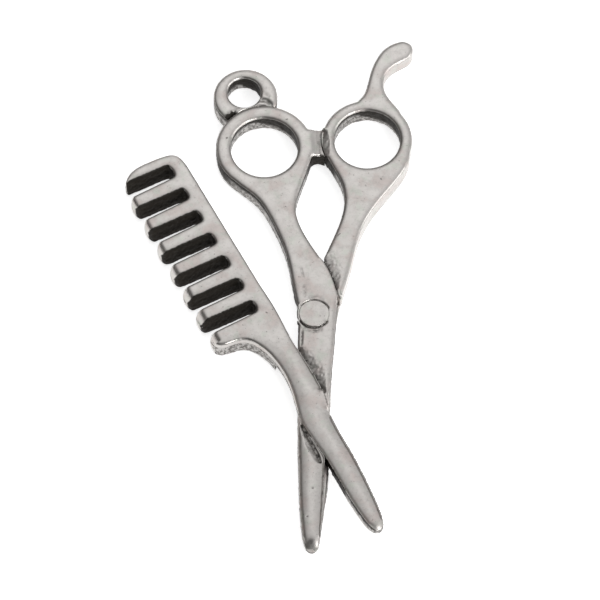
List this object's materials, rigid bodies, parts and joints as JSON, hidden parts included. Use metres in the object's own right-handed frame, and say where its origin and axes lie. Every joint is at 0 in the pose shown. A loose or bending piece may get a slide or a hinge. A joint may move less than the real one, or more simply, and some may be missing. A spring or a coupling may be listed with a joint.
{
  "type": "hair cutting shears pendant",
  "caption": "Flat metal pendant of hair cutting shears with a finger rest, a comb laid across the blades and a hanging eye; the shears open on a riveted pivot.",
  "frame": {"origin": "axis of the hanging eye's hole, at the back face", "axes": "+Z out of the front face, +Y along the shears from the blade tips to the finger rings, +X to the right seen from the front"},
  "size_m": [0.0255, 0.0514, 0.0023],
  "materials": {
    "antique_plate": "satin tumbled top faces, dark oxidised recesses and side walls",
    "bright_pin": "plain turned steel"
  },
  "bodies": {
    "root": {"front_half": "antique_plate", "ring_stop": "antique_plate", "hanging_eye": "antique_plate", "comb": "antique_plate", "comb_pegs": "bright_pin", "pivot_rivet": "antique_plate", "pivot_washer": "bright_pin", "rivet_burr": "bright_pin"},
    "rear": {"rear_half": "antique_plate", "finger_rest": "antique_plate"}
  },
  "joints": [
    {"name": "shears_pivot", "type": "hinge", "parent": "root", "child": "rear", "pos_m": [0.0062, -0.0228, 0], "axis": [0, 0, -1], "range_deg": [0, 20]}
  ]
}
